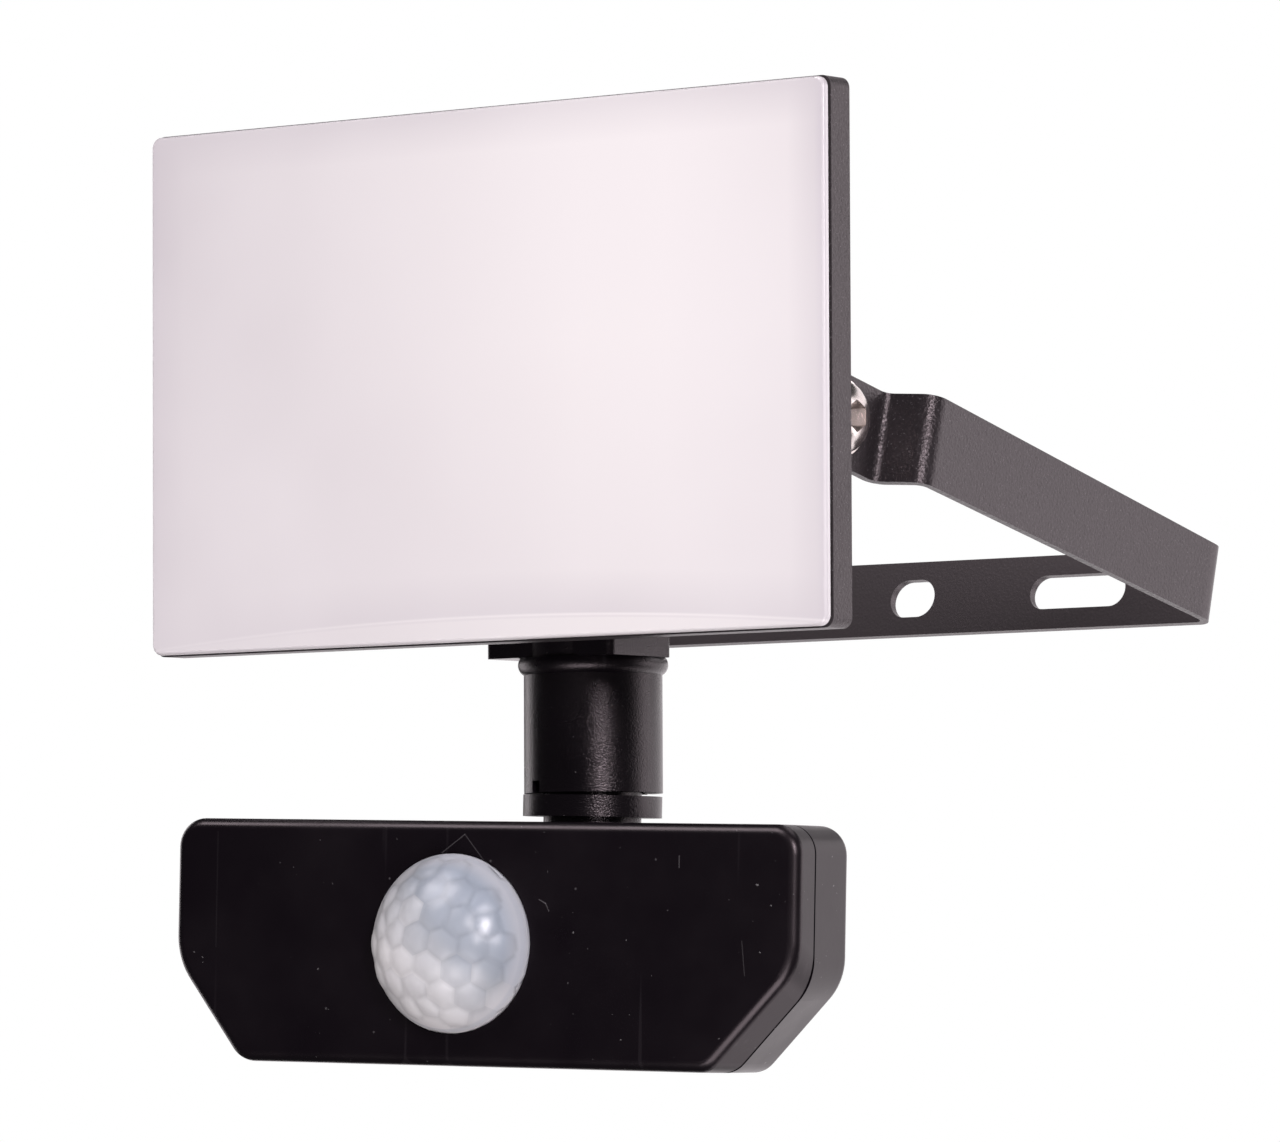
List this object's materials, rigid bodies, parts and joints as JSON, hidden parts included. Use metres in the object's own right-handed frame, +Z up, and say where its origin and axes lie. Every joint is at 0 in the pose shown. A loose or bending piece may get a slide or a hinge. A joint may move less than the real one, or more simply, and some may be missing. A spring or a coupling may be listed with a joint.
{
  "type": "motion sensor floodlight",
  "caption": "Flat square-edged LED floodlight on a folded U bracket, with a swivelling motion sensor under the lamp.",
  "frame": {"origin": "middle of the bracket's wall face, on the axis of its oval middle hole", "axes": "+Y into the wall, +Z up, +X to the right of somebody who faces the lamp"},
  "size_m": [0.1172, 0.1103, 0.13],
  "materials": {
    "cast_housing": "fine-grained dark grey powder coat",
    "bracket_steel": "fine-grained dark grey powder coat",
    "opal": "glossy opal white",
    "black_plastic": "satin black moulding",
    "lens": "translucent milky moulding",
    "stainless": "bright turned steel",
    "zinc_screws": "plated",
    "seal_rubber": "matt black",
    "gland_plastic": "moulded black",
    "light_board": "white lacquered metal board",
    "chips": "yellow phosphor",
    "board": "green lacquered board",
    "parts_dark": "moulded component bodies",
    "terminals": "moulded terminal block",
    "wire": "insulated leads",
    "detector": "metal can",
    "knobs": "pale slotted knobs",
    "trimmer_bodies": "small blue bodies"
  },
  "bodies": {
    "bracket": {"bracket": "bracket_steel"},
    "lamp": {"housing": "cast_housing", "diffuser": "opal", "diffuser_seal": "seal_rubber", "led_board": "light_board", "led_chips": "chips", "led_board_screws": "zinc_screws", "led_leads": "wire", "driver_board": "board", "driver_transformer": "parts_dark", "driver_capacitor": "parts_dark", "driver_bridge": "parts_dark", "driver_terminals": "terminals", "rear_cover": "cast_housing", "rear_cover_seal": "seal_rubber", "rear_cover_screws": "zinc_screws", "cable_gland": "gland_plastic", "gland_locknut": "gland_plastic", "gland_seal": "seal_rubber", "gland_dome_nut": "gland_plastic", "hinge_screws": "stainless", "hinge_washers": "stainless", "neck_sleeve": "black_plastic", "neck_screws": "zinc_screws"},
    "sensor": {"swivel_stud": "black_plastic", "swivel_seal": "seal_rubber", "swivel_nut": "gland_plastic", "sensor_front_cover": "black_plastic", "sensor_rear_shell": "black_plastic", "pir_lens": "lens", "lens_retainer": "black_plastic", "sensor_board": "board", "pyro_detector": "detector", "light_cell": "parts_dark", "sensor_relay": "parts_dark", "sensor_capacitor": "parts_dark", "sensor_case_screws": "zinc_screws", "trimmers": "trimmer_bodies", "knob_board": "board"},
    "knob_range": {"knob_range": "knobs"},
    "knob_time": {"knob_time": "knobs"},
    "knob_light": {"knob_light": "knobs"}
  },
  "joints": [
    {"name": "lamp_tilt", "type": "hinge", "parent": "bracket", "child": "lamp", "pos_m": [0, -0.0802, 0], "axis": [1, 0, 0], "range_deg": [-105, 20]},
    {"name": "sensor_pan", "type": "hinge", "parent": "lamp", "child": "sensor", "pos_m": [0.00039, -0.06891, -0.02851], "axis": [0.0279, -0.2435, 0.9695], "range_deg": [-99, 80.5]},
    {"name": "knob_range_turn", "type": "hinge", "parent": "sensor", "child": "knob_range", "pos_m": [-0.01317, -0.06535, -0.08221], "axis": [0.0279, -0.2435, 0.9695], "range_deg": [-135, 135]},
    {"name": "knob_time_turn", "type": "hinge", "parent": "sensor", "child": "knob_time", "pos_m": [0.00014, -0.0631, -0.08202], "axis": [0.0279, -0.2435, 0.9695], "range_deg": [-135, 135]},
    {"name": "knob_light_turn", "type": "hinge", "parent": "sensor", "child": "knob_light", "pos_m": [0.01345, -0.06085, -0.08184], "axis": [0.0279, -0.2435, 0.9695], "range_deg": [-135, 135]}
  ]
}
